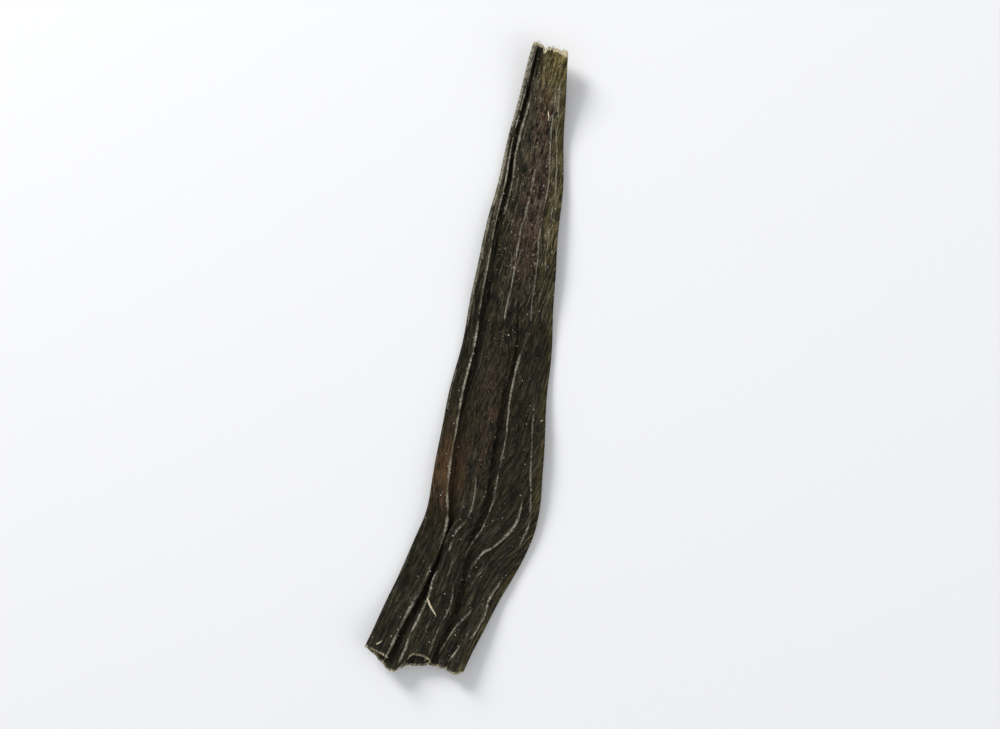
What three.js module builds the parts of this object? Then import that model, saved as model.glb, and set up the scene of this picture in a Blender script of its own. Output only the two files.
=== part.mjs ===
// A dried kelp frond: one leathery blade, folded lengthwise and lying flat.
// Its narrow stem end points along +Y and its wide end along -Y, both cut across.
// All sizes are in millimetres, and the finished frond stands on z = 0.

import * as THREE from 'three';

// The frond's middle line: straight towards the stem end, leaning over towards the wide end
const LENGTH = 189.4;
const WIDE_SLOPE = 0.285; // sideways travel for each millimetre along
const NARROW_SLOPE = -0.08;
const BEND = [28, 64]; // where one slope turns into the other

// Stations along the folded frond, seen from above: the distance `at` from the wide end, then the
// places across the middle line of the left side, the folded margin's free edge, the pleat's edge
// and the right side
const STATIONS = [
  { at: 0, left: -15.1, flap: -7.6, pleat: 4.3, right: 14.3 },
  { at: 11, left: -15.5, flap: -8.0, pleat: 3.5, right: 13.6 },
  { at: 22, left: -16.0, flap: -8.0, pleat: 2.7, right: 13.4 },
  { at: 31, left: -16.4, flap: -8.2, pleat: 0.9, right: 13.5 },
  { at: 43, left: -16.6, flap: -8.9, pleat: -2.3, right: 14.8 },
  { at: 58, left: -17.2, flap: -12.0, pleat: -1.0, right: 15.1 },
  { at: 100, left: -14.2, flap: -10.2, pleat: -0.4, right: 12.2 },
  { at: 150, left: -10.1, flap: -7.8, pleat: 0.3, right: 8.7 },
  { at: 166, left: -8.0, flap: -6.3, pleat: 0.2, right: 7.3 },
  { at: 189.4, left: -5.4, flap: -3.8, pleat: 0, right: 5 },
];
const FULL_WIDTH = 33;

// Slow waves of the whole frond; each wave repeats after 2 pi times its length
const MIDDLE_WAVES = [
  { size: 0.25, length: 7.3, start: 0 },
  { size: 0.15, length: 3.9, start: 1 },
];

// The blade and the way its layers lie on each other
const SHEET = 0.6;
const LAYER_PITCH = 1.1; // between the middles of two touching layers
const FOLD_LEAD = 1.1; // straight run before a fold turns over

// Midrib, which rises out of the blade towards the stem end
const RIB_THICKNESS = 1.0;
const RIB_RISES = [112, 165];
const RIB_MIDDLE = 0.52; // of the way across the unfolded sheet
const RIB_REACH = 0.2;

// Margin folded over the left side: its free edge lies on top
const FLAP_LIFT = 0.35; // curl of the free edge
const FLAP_CURL_FROM = 0.55; // of the way from the fold to the free edge
const FLAP_LEAD = 0.5; // most of a narrow flap that its fold may take
const FLAP_GROUND = [1.8, 0.5]; // how far past the free edge the layer below stays flat

// Knife pleat down the middle: open at the stem end, folded under at the wide end
const PLEAT_DEPTH = 7;
const PLEAT_OPEN_DEPTH = -1.6; // opened out, its two folds stand apart
const PLEAT_UNFOLDS = [15, 100];
const PLEAT_FLATTENS = [96, 138];
const PLEAT_APPROACH = 1.3; // how far before its inner fold the pleat starts to rise
const PLEAT_RISE = 0.35; // of its way to the edge, where it is level
const PLEAT_GROUND = 0.6; // how far past the pleat's edge the layer below stays flat
const PLEAT_GAP = 1.5; // between the flap and the first point of the flattened pleat
const WALL_EASE = 0.3; // keeps a half open fold's wall round at both corners

// Two creases between the pleat and the right side
const CREASES = [
  { share: 0.38, height: 0.8, halfWidth: 1.5 }, // share of the way from the pleat's edge to the right side
  { share: 0.66, height: 0.6, halfWidth: 1.2 },
];
const CREASE_BASE = [0.3, 0.95]; // height left and right of the last crease
const CREASE_MIN = 0.3; // of full size, where the frond is narrow

// Margin tucked under the right side
const TUCK = [1.5, 5.2]; // at the wide and the narrow end
const TUCK_LEAD = 0.7; // most of the tuck that its fold may take
const TUCK_GROWS = [75, 160];
const BLADE_LIFTS = [45, 100]; // where the blade rises to lie over the growing tuck

// Curl of the ends off the ground
const WIDE_END_CURL = 3;
const WIDE_CURL_LENGTH = 34;
const WIDE_CURL_TILT = 0.3; // how much more the left side curls, and how much less the right
const NARROW_END_CURL = 4.6;
const NARROW_CURL_LENGTH = 42;

// Ripples that lift the two side edges; the middle stays on the ground
const LEFT_RIPPLE = { size: 0.8, length: 11, start: 2.6 };
const RIGHT_RIPPLE = { size: 1, length: 9.5, start: 0.4 };
const RIPPLE_FROM = 0.4; // of the way from the middle line to the edge

// The wide end's cut: how far up the frond each layer stops, by its place in the section's
// control points. The layer that goes under the pleat is the longest.
const WIDE_CUT = [
  { at: 0, cut: 3.6 },
  { at: 5, cut: 2.8 },
  { at: 8, cut: 0.9 },
  { at: 9, cut: 7.4 },
  { at: 12, cut: 7 },
  { at: 14, cut: 4.5 },
  { at: 16, cut: 1.8 },
  { at: 18, cut: 6.8 },
  { at: 24, cut: 8.2 },
  { at: 26, cut: 9.2 },
  { at: 29, cut: 10.8 },
];
const NARROW_CUT_SLANT = 1.7; // how much shorter the right side is at the stem end

// Fineness of the faceted solid
const ROWS = 40;
const SAMPLES_PER_CONTROL = 2;

const KELP = new THREE.MeshStandardMaterial({ name: 'kelp', color: 0x3a3823, roughness: 0.62, metalness: 0 });

const { clamp, lerp, smoothstep } = THREE.MathUtils;

// Value that goes from the wide end's number to the narrow end's
function alongFrond([wide, narrow], v) {
  return lerp(wide, narrow, v / LENGTH);
}

function wave({ size, length, start }, v) {
  return size * Math.sin(v / length + start);
}

// Value under `name` at distance v, on a smooth curve through the rows of a table
function onCurve(rows, name, v) {
  const last = rows.length - 1;
  const next = clamp(rows.findIndex((row) => row.at >= v), 1, last);
  const [before, from, to, after] = [next - 2, next - 1, next, next + 1].map((k) => rows[clamp(k, 0, last)]);
  const span = to.at - from.at;
  const slopeFrom = (to[name] - before[name]) / (to.at - before.at);
  const slopeTo = (after[name] - from[name]) / (after.at - from.at);
  const t = (v - from.at) / span;
  const eased = t * t * (3 - 2 * t);
  const bends = t * (1 - t) ** 2 * slopeFrom - t * t * (1 - t) * slopeTo;
  return lerp(from[name], to[name], eased) + span * bends;
}

function middleSlope(v) {
  return lerp(WIDE_SLOPE, NARROW_SLOPE, smoothstep(v, ...BEND));
}

// Sideways place of the middle line: the sum of its slope up to v
function middleLine(v) {
  const span = BEND[1] - BEND[0];
  const t = clamp((v - BEND[0]) / span, 0, 1);
  const turned = span * (t ** 3 - t ** 4 / 2) + Math.max(0, v - BEND[1]);
  return WIDE_SLOPE * v + (NARROW_SLOPE - WIDE_SLOPE) * turned;
}

// Outline of the sheet's middle at distance v, measured from its left side
function outlineAt(v) {
  const left = onCurve(STATIONS, 'left', v) + SHEET / 2;
  return {
    left,
    flap: onCurve(STATIONS, 'flap', v) - left,
    pleat: onCurve(STATIONS, 'pleat', v) - left,
    width: onCurve(STATIONS, 'right', v) - left - SHEET / 2,
  };
}

// Thickness the midrib adds at distance v
function ribHeight(v) {
  return RIB_THICKNESS * smoothstep(v, ...RIB_RISES);
}

// The functions from here to tuckPoints give the control points of one cross-section, from
// left to right, each as [distance from the left side, height of the sheet's middle]

function flapPoints({ flap }, v) {
  const lead = Math.min(FOLD_LEAD, flap * FLAP_LEAD);
  const curlStart = lerp(lead, flap, FLAP_CURL_FROM);
  return [
    [flap, LAYER_PITCH + FLAP_LIFT],
    [curlStart, LAYER_PITCH],
    [lead, LAYER_PITCH],
    [0, LAYER_PITCH],
    [0, 0],
    [lead, 0],
    [curlStart, 0],
    [flap + alongFrond(FLAP_GROUND, v), 0],
  ];
}

// A fold that turns under at `edge` and comes back out at `edge - depth`.
// With a negative depth it is a plain step down to the right.
function foldPoints(edge, depth, heights) {
  const [top, middle, low] = heights;
  const inner = edge - depth;
  const turn = clamp(depth / 2, -FOLD_LEAD, FOLD_LEAD);
  const folded = smoothstep(Math.abs(depth), 0.5 * FOLD_LEAD, 2 * FOLD_LEAD);
  const between = (share, x) => lerp(lerp(edge, inner, share), x, folded);
  const ease = WALL_EASE * (top - middle) * (1 - folded);
  return [
    [edge - FOLD_LEAD, top],
    [edge, top],
    [between(0.35, edge), middle + ease],
    [between(0.45, edge - turn), middle + ease / 3],
    [between(0.55, inner + turn), middle - ease / 3],
    [between(0.65, inner), middle - ease],
    [inner, low],
    [inner + FOLD_LEAD, low],
    [Math.max(inner + 1.5 * FOLD_LEAD, edge + PLEAT_GROUND), low],
  ];
}

function pleatPoints({ flap, pleat, width }, v) {
  const depth = lerp(PLEAT_DEPTH, PLEAT_OPEN_DEPTH, smoothstep(v, ...PLEAT_UNFOLDS));
  const heights = [2 * LAYER_PITCH, LAYER_PITCH, 0];
  const start = Math.min(pleat - depth - PLEAT_APPROACH, pleat - 2 * FOLD_LEAD);
  const rise = [
    [start, heights[0]],
    [lerp(start, pleat - FOLD_LEAD, PLEAT_RISE), heights[0]],
  ];
  const folded = [...rise, ...foldPoints(pleat, depth, heights)];
  const left = flap + PLEAT_GAP;
  const crease = CREASES[0];
  const right = lerp(pleat, width, crease.share) - crease.halfWidth * creaseScale(width);
  const rest = creaseBase(v)[0];
  const flat = smoothstep(v, ...PLEAT_FLATTENS);
  return folded.map(([x, height], k) => [
    lerp(x, lerp(left, right, (k + 1) / (folded.length + 1)), flat),
    lerp(height, lerp(rest / 2, rest, k / (folded.length - 1)), flat),
  ]);
}

function creaseScale(width) {
  return clamp(width / FULL_WIDTH, CREASE_MIN, 1);
}

// Height of the blade beside the creases; at the stem end it lies over the tucked margin
function creaseBase(v) {
  const over = LAYER_PITCH + ribHeight(v) / 2;
  const lifted = smoothstep(v, ...BLADE_LIFTS);
  return CREASE_BASE.map((height) => lerp(height, over, lifted));
}

function creasePoints({ pleat, width }, v) {
  const scale = creaseScale(width);
  const [left, right] = creaseBase(v);
  const points = [];
  CREASES.forEach((crease, k) => {
    const x = lerp(pleat, width, crease.share);
    const reach = crease.halfWidth * scale;
    const after = k === CREASES.length - 1 ? right : left;
    points.push([x - reach, left]);
    points.push([x, left + crease.height * scale]);
    points.push([x + reach, after]);
  });
  return points;
}

function tuckPoints({ width }, v) {
  const top = Math.max(LAYER_PITCH, creaseBase(v)[1]);
  const tuck = lerp(TUCK[0], TUCK[1], smoothstep(v, ...TUCK_GROWS));
  return [
    [width - FOLD_LEAD, top],
    [width, top],
    [width, 0],
    [width - Math.min(FOLD_LEAD, tuck * TUCK_LEAD), 0],
    [width - tuck, 0],
  ];
}

// One cross-section's middle line: a quadratic B-spline on its control points
function sectionAt(v) {
  const outline = outlineAt(v);
  const control = [
    ...flapPoints(outline, v),
    ...pleatPoints(outline, v),
    ...creasePoints(outline, v),
    ...tuckPoints(outline, v),
  ].map(([x, height]) => new THREE.Vector2(x + outline.left, height));
  const last = control.length - 1;
  const joint = (i) => {
    if (i === 0) return control[0];
    if (i === last - 1) return control[last];
    return control[i].clone().lerp(control[i + 1], 0.5);
  };
  const points = [];
  for (let i = 1; i < last; i += 1) {
    const arc = new THREE.QuadraticBezierCurve(joint(i - 1), control[i], joint(i));
    points.push(...arc.getPoints(SAMPLES_PER_CONTROL).slice(0, -1));
  }
  points.push(control[last]);
  return points;
}

const COLUMNS = sectionAt(0).length;

// Point on the sheet's upper (side 1) or lower (side -1) face
function sheetPoint(v, column, side) {
  const section = sectionAt(v);
  const before = section[Math.max(0, column - 1)];
  const after = section[Math.min(COLUMNS - 1, column + 1)];
  const along = after.clone().sub(before).normalize();
  const across = column / (COLUMNS - 1);
  const onRib = clamp(1 - Math.abs(across - RIB_MIDDLE) / RIB_REACH, 0, 1);
  const half = (SHEET + ribHeight(v) * smoothstep(onRib, 0, 1)) / 2;
  const waver = MIDDLE_WAVES.reduce((sum, each) => sum + wave(each, v), 0);
  const { left, width } = outlineAt(v);
  const toEdge = (2 * (section[column].x - left)) / width - 1;
  const x = section[column].x - side * half * along.y + waver;
  const z = section[column].y + side * half * along.x + SHEET / 2 + liftAt(v, toEdge);
  const slope = middleSlope(v);
  const length = Math.hypot(1, slope);
  return [middleLine(v) + x / length, v - (x * slope) / length, z];
}

// How far the frond lifts off the ground; toEdge runs from -1 at the left edge to 1 at the right
function liftAt(v, toEdge) {
  const wide = Math.max(0, 1 - v / WIDE_CURL_LENGTH);
  const narrow = Math.max(0, 1 - (LENGTH - v) / NARROW_CURL_LENGTH);
  const ripple = toEdge < 0 ? LEFT_RIPPLE : RIGHT_RIPPLE;
  const outward = Math.max(0, Math.abs(toEdge) - RIPPLE_FROM) / (1 - RIPPLE_FROM);
  const curl = WIDE_END_CURL * wide ** 2 * (1 - WIDE_CURL_TILT * toEdge) + NARROW_END_CURL * narrow ** 2;
  return curl + (ripple.size + wave(ripple, v)) * outward ** 2;
}

// Where each column of the sheet starts and ends along the frond
function cutAt(column) {
  const wide = onCurve(WIDE_CUT, 'cut', column / SAMPLES_PER_CONTROL + 0.5);
  return [wide, LENGTH - (NARROW_CUT_SLANT * column) / (COLUMNS - 1)];
}

// Rings of points around the sheet, joined row to row and closed at the two cuts
function frondGeometry() {
  const positions = [];
  const indices = [];
  const ring = 2 * COLUMNS;
  for (let row = 0; row <= ROWS; row += 1) {
    for (let place = 0; place < ring; place += 1) {
      const upper = place < COLUMNS;
      const column = upper ? place : ring - 1 - place;
      const v = lerp(...cutAt(column), row / ROWS);
      positions.push(...sheetPoint(v, column, upper ? 1 : -1));
    }
  }
  for (let row = 0; row < ROWS; row += 1) {
    for (let place = 0; place < ring; place += 1) {
      const a = row * ring + place;
      const b = row * ring + ((place + 1) % ring);
      indices.push(a, b, b + ring, a, b + ring, a + ring);
    }
  }
  const far = ROWS * ring;
  for (let column = 0; column < COLUMNS - 1; column += 1) {
    const top = column;
    const bottom = ring - 1 - column;
    indices.push(top, bottom, bottom - 1, top, bottom - 1, top + 1);
    indices.push(far + top, far + bottom - 1, far + bottom, far + top, far + top + 1, far + bottom - 1);
  }
  const geometry = new THREE.BufferGeometry();
  geometry.setAttribute('position', new THREE.Float32BufferAttribute(positions, 3));
  geometry.setIndex(indices);
  return geometry;
}

// The frond's box is centred over the origin and stands on z = 0
const geometry = frondGeometry();
geometry.computeBoundingBox();
const box = geometry.boundingBox;
const centre = box.getCenter(new THREE.Vector3());
geometry.translate(-centre.x, -centre.y, -box.min.z);

const frond = new THREE.Mesh(geometry, KELP);
frond.name = 'kelp_frond';

const group = new THREE.Group();
group.add(frond);

export default group;
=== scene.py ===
import math

import bpy
import numpy as np
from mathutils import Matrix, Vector


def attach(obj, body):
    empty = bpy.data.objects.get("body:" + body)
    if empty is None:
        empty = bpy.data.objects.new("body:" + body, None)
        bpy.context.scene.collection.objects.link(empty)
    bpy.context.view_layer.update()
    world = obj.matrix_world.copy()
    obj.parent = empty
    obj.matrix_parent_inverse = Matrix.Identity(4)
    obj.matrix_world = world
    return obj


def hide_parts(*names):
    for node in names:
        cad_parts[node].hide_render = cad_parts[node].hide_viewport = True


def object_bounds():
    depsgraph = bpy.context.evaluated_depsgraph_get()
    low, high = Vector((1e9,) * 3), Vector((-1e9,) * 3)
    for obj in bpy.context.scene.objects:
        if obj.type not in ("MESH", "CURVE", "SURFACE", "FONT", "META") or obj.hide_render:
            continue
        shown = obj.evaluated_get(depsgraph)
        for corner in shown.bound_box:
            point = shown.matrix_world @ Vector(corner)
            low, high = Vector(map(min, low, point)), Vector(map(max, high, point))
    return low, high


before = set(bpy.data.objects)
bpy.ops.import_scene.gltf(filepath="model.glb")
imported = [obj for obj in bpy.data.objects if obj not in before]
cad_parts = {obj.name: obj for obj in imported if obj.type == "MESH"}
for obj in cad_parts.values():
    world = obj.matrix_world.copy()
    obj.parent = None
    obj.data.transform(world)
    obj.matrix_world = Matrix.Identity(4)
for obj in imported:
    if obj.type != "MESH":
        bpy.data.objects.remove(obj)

bl_info = {
    "name": "Dried kelp frond",
    "version": (1, 0, 0),
    "blender": (4, 5, 0),
    "location": "3D View > Sidebar > Kelp",
    "description": "A dried kelp frond, folded lengthwise, with its fibres, salt grains and studio stage",
    "category": "Add Mesh",
}

CAD_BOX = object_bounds()
NODE = "kelp_frond"
MM = 0.001  # the form is worked out in millimetres, and the meshes are in metres
UNFOLDED_SPAN = 200.0  # millimetres for one unit of the blade's UV map
FLAP_PLACES = 4.5  # control points of the folded-over margin, which shows its other face
LOWER_STEP = 3  # of the remaining columns, one in so many is kept on the face out of sight

# ---------------------------------------------------------------- the frond's form, in millimetres

# Middle line: straight towards the stem end (+Y), leaning over towards the wide end (-Y)
LENGTH = 189.4
WIDE_SLOPE = 0.285
NARROW_SLOPE = -0.08
BEND = (28, 64)
MIDDLE_WAVES = ((0.25, 7.3, 0), (0.15, 3.9, 1))  # size, length / 2 pi, start

# Stations: distance from the wide end, then places across the middle line
STATIONS_AT = np.array([0, 11, 22, 31, 43, 58, 100, 150, 166, 189.4])
LEFT_SIDE = np.array([-15.1, -15.5, -16.0, -16.4, -16.6, -17.2, -14.2, -10.1, -8.0, -5.4])
FLAP_EDGE = np.array([-7.6, -8.0, -8.0, -8.2, -8.9, -12.0, -10.2, -7.8, -6.3, -3.8])
PLEAT_EDGE = np.array([4.3, 3.5, 2.7, 0.9, -2.3, -1.0, -0.4, 0.3, 0.2, 0.0])
RIGHT_SIDE = np.array([14.3, 13.6, 13.4, 13.5, 14.8, 15.1, 12.2, 8.7, 7.3, 5.0])
FULL_WIDTH = 33.0

# Layers and folds
FOLD_LEAD = 1.0
FLAP_CURL_FROM = 0.55
FLAP_LEAD = 0.5
FLAP_GROUND = (1.8, 0.5)
PLEAT_DEPTH = 7.0
PLEAT_OPEN_DEPTH = -1.6
PLEAT_UNFOLDS = (15, 100)
PLEAT_FLATTENS = (96, 138)
PLEAT_APPROACH = 1.3
PLEAT_RISE = 0.35
PLEAT_GROUND = 0.6
PLEAT_GAP = (1.5, 0.6)
PLEAT_GAP_CLOSES = (120, 170)
WALL_EASE = 0.3
CREASES = ((0.38, 0.8, 1.5), (0.66, 0.6, 1.2))  # share of the right panel, height, half width
CREASE_BASE = (0.3, 0.95)
CREASE_MIN = 0.3
TUCK = (1.5, 5.2)
TUCK_LEAD = 0.7
TUCK_GROWS = (75, 160)
BLADE_LIFTS = (45, 100)

# Midrib
RIB_THICKNESS = 0.9
RIB_RISES = (112, 165)
RIB_MIDDLE = 0.52
RIB_REACH = 0.2

# Sides of the sheet: how far in they thin, and the share of the thickness that is left
SIDE_ROUNDING = 0.35
SIDE_THICKNESS = 0.3

# Curl of the ends and ripples of the sides
WIDE_END_CURL = 3.0
WIDE_CURL_LENGTH = 34.0
WIDE_CURL_TILT = 0.3
NARROW_END_CURL = 4.6
NARROW_CURL_LENGTH = 42.0
LEFT_RIPPLE = (0.8, 11, 2.6)
RIGHT_RIPPLE = (1.0, 9.5, 0.4)
RIPPLE_FROM = 0.4

# Cuts
WIDE_CUT_AT = np.array([0, 5, 8, 9, 12, 14, 16, 18, 24, 26, 29], float)  # places in the control points
WIDE_CUT = np.array([3.6, 2.8, 0.9, 7.4, 7.0, 4.5, 1.8, 6.8, 8.2, 9.2, 10.8])
NARROW_CUT_SLANT = 1.7
TEETH_ACROSS = 180  # units that a tooth's length is counted in, over the whole cut
WIDE_TEETH = ((0.34, 9, 0.0, 11), (0.2, 2.6, 3.0, 12))  # depth, length, start, seed
NARROW_TEETH = ((0.3, 7, 9.0, 13), (0.16, 2.4, 5.0, 14))
NOTCH = (1.1, 11.5, 1.3)  # depth, place, half width
CLOSE_ROWS = np.array([0, 0.14, 0.34, 0.62])  # distances of the closer rows from each cut

# How much each control point's place on the sheet may wrinkle: 0 where a layer is hidden
SHOWS_FOLDED = np.array([1, 1, 0.9, 0.45, 0.1, 0, 0, 0.5, 0.8, 1, 1, 0.9, 0.3, 0, 0, 0, 0, 0.15, 0.7,
                         1, 1, 1, 1, 1, 0.9, 0.9, 0.5, 0.1, 0, 0])
OPENED = slice(9, 24)  # control points that all show where the pleat lies open
SHOWS_OPEN = SHOWS_FOLDED.copy()
SHOWS_OPEN[OPENED] = 1


def lerp(a, b, t):
    return a + (b - a) * t


def smoothstep(v, low, high):
    t = np.clip((v - low) / (high - low), 0, 1)
    return t * t * (3 - 2 * t)


def along_frond(ends, v):
    """Value that goes from the wide end's number to the narrow end's."""
    return lerp(ends[0], ends[1], v / LENGTH)


def wave(form, v):
    size, length, start = form
    return size * np.sin(v / length + start)


def on_curve(at, values, v):
    """Value at v on a smooth curve through the stations."""
    places = np.arange(len(at))
    ahead = np.minimum(places + 1, len(at) - 1)
    behind = np.maximum(places - 1, 0)
    slopes = (values[ahead] - values[behind]) / (at[ahead] - at[behind])
    k = np.clip(np.searchsorted(at, v) - 1, 0, len(at) - 2)
    span = at[k + 1] - at[k]
    t = (v - at[k]) / span
    eased = t * t * (3 - 2 * t)
    bends = t * (1 - t) ** 2 * slopes[k] - t * t * (1 - t) * slopes[k + 1]
    return lerp(values[k], values[k + 1], eased) + span * bends


def middle_slope(v):
    return lerp(WIDE_SLOPE, NARROW_SLOPE, smoothstep(v, *BEND))


def middle_line(v):
    """Sideways place of the middle line: the sum of its slope up to v."""
    span = BEND[1] - BEND[0]
    t = np.clip((v - BEND[0]) / span, 0, 1)
    turned = span * (t**3 - t**4 / 2) + np.maximum(0, v - BEND[1])
    return WIDE_SLOPE * v + (NARROW_SLOPE - WIDE_SLOPE) * turned


def outline(v, sheet):
    """Left side, and the flap's edge, the pleat's edge and the width measured from it."""
    left = on_curve(STATIONS_AT, LEFT_SIDE, v) + sheet / 2
    flap = on_curve(STATIONS_AT, FLAP_EDGE, v) - left
    pleat = on_curve(STATIONS_AT, PLEAT_EDGE, v) - left
    width = on_curve(STATIONS_AT, RIGHT_SIDE, v) - left - sheet / 2
    return left, flap, pleat, width


def flap_points(flap, v, pitch, curl):
    """Margin folded over the left side, and the layer below it."""
    lead = np.minimum(FOLD_LEAD, flap * FLAP_LEAD)
    curl_start = lerp(lead, flap, FLAP_CURL_FROM)
    return [
        (flap, pitch + curl),
        (curl_start, pitch),
        (lead, pitch),
        (0, pitch),
        (0, 0),
        (lead, 0),
        (curl_start, 0),
        (flap + along_frond(FLAP_GROUND, v), 0),
    ]


def fold_points(edge, depth, pitch):
    """Fold that turns under at `edge` and comes back out at `edge - depth`."""
    top, middle, low = 2 * pitch, pitch, 0
    inner = edge - depth
    turn = np.clip(depth / 2, -FOLD_LEAD, FOLD_LEAD)
    folded = smoothstep(np.abs(depth), 0.5 * FOLD_LEAD, 2 * FOLD_LEAD)
    ease = WALL_EASE * (top - middle) * (1 - folded)

    def between(share, x):
        return lerp(lerp(edge, inner, share), x, folded)

    return [
        (edge - FOLD_LEAD, top),
        (edge, top),
        (between(0.35, edge), middle + ease),
        (between(0.45, edge - turn), middle + ease / 3),
        (between(0.55, inner + turn), middle - ease / 3),
        (between(0.65, inner), middle - ease),
        (inner, low),
        (inner + FOLD_LEAD, low),
        (np.maximum(inner + 1.5 * FOLD_LEAD, edge + PLEAT_GROUND), low),
    ]


def crease_scale(width):
    return np.clip(width / FULL_WIDTH, CREASE_MIN, 1)


def crease_base(v, pitch):
    """Height of the blade beside the creases; at the stem end it lies over the tucked margin."""
    over = pitch + RIB_THICKNESS * smoothstep(v, *RIB_RISES) / 2
    lifted = smoothstep(v, *BLADE_LIFTS)
    return [lerp(height, over, lifted) for height in CREASE_BASE]


def pleat_points(flap, pleat, width, v, pitch):
    """Knife pleat: folded under at the wide end, open and flat at the stem end."""
    depth = lerp(PLEAT_DEPTH, PLEAT_OPEN_DEPTH, smoothstep(v, *PLEAT_UNFOLDS))
    start = np.minimum(pleat - depth - PLEAT_APPROACH, pleat - 2 * FOLD_LEAD)
    rise = [(start, 2 * pitch), (lerp(start, pleat - FOLD_LEAD, PLEAT_RISE), 2 * pitch)]
    folded = rise + fold_points(pleat, depth, pitch)
    left = flap + lerp(*PLEAT_GAP, smoothstep(v, *PLEAT_GAP_CLOSES))
    right = lerp(pleat, width, CREASES[0][0]) - CREASES[0][2] * crease_scale(width)
    rest = crease_base(v, pitch)[0]
    flat = smoothstep(v, *PLEAT_FLATTENS)
    points = []
    for k, (x, height) in enumerate(folded):
        flat_x = lerp(left, right, (k + 1) / (len(folded) + 1))
        flat_height = lerp(rest / 2, rest, k / (len(folded) - 1))
        points.append((lerp(x, flat_x, flat), lerp(height, flat_height, flat)))
    return points


def crease_points(pleat, width, v, pitch):
    """The two creases between the pleat and the right side."""
    scale = crease_scale(width)
    left, right = crease_base(v, pitch)
    points = []
    for k, (share, height, half_width) in enumerate(CREASES):
        x = lerp(pleat, width, share)
        after = right if k == len(CREASES) - 1 else left
        points.append((x - half_width * scale, left))
        points.append((x, left + height * scale))
        points.append((x + half_width * scale, after))
    return points


def tuck_points(width, v, pitch):
    """Margin tucked under the right side."""
    top = np.maximum(pitch, crease_base(v, pitch)[1])
    tuck = lerp(TUCK[0], TUCK[1], smoothstep(v, *TUCK_GROWS))
    return [
        (width - FOLD_LEAD, top),
        (width, top),
        (width, 0),
        (width - np.minimum(FOLD_LEAD, tuck * TUCK_LEAD), 0),
        (width - tuck, 0),
    ]


def control_points(v, sheet, pitch, curl):
    """Control points of every cross-section: section, point, (across, height)."""
    left, flap, pleat, width = outline(v, sheet)
    points = flap_points(flap, v, pitch, curl)
    points += pleat_points(flap, pleat, width, v, pitch)
    points += crease_points(pleat, width, v, pitch)
    points += tuck_points(width, v, pitch)
    across = np.stack([left + x for x, _ in points], axis=1)
    height = np.stack([np.broadcast_to(z, v.shape) for _, z in points], axis=1)
    return np.stack([across, height], axis=2)


def spline(control, place):
    """Quadratic spline through every section; place counts control points, from 0.5 up."""
    joints = (control[:, :-1] + control[:, 1:]) / 2
    joints[:, 0] = control[:, 0]
    joints[:, -1] = control[:, -1]
    arc = np.clip((place + 0.5).astype(int), 1, control.shape[1] - 2)
    t = (place + 0.5 - arc)[:, None]
    return (1 - t) ** 2 * joints[:, arc - 1] + 2 * t * (1 - t) * control[:, arc] + t * t * joints[:, arc]


def even_places(control, columns, fold_weight):
    """Places for the columns: even along the sheet, and closer together in the folds."""
    fine = np.linspace(0.5, control.shape[1] - 1.5, 16 * (control.shape[1] - 2) + 1)
    steps = np.diff(spline(control, fine), axis=1)
    length = np.hypot(steps[..., 0], steps[..., 1]).mean(axis=0)
    angle = np.unwrap(np.arctan2(steps[..., 1], steps[..., 0]), axis=1)
    turn = np.abs(np.gradient(angle, axis=1)).mean(axis=0)
    travelled = np.concatenate([[0], np.cumsum(length + fold_weight * turn)])
    return np.interp(np.linspace(0, travelled[-1], columns), travelled, fine)


def noise(x, y, seed):
    """Smooth noise between -1 and 1, one cell for each unit of x and y."""
    cells = 256
    lattice = np.random.default_rng(seed).uniform(-1, 1, (cells, cells))
    x, y = np.broadcast_arrays(x, y)
    x0 = np.floor(x).astype(int)
    y0 = np.floor(y).astype(int)
    tx = smoothstep(x - x0, 0, 1)
    ty = smoothstep(y - y0, 0, 1)
    x1 = (x0 + 1) % cells
    y1 = (y0 + 1) % cells
    x0 = x0 % cells
    y0 = y0 % cells
    low = lerp(lattice[x0, y0], lattice[x1, y0], tx)
    high = lerp(lattice[x0, y1], lattice[x1, y1], tx)
    return lerp(low, high, ty)


def pattern(form, across, along):
    width, length, seed = form
    return noise(across / width, along / length, seed)


def ridges(form, across, along):
    """Narrow crests between 0 and 1."""
    *size, sharpness = form
    return (1 - np.abs(pattern(size, across, along))) ** sharpness


def ragged(teeth, across):
    return sum(depth * noise(across / length, start, seed) for depth, length, start, seed in teeth)


def hill(x, middle, half_width):
    return np.exp(-(((x - middle) / half_width) ** 2))


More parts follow.
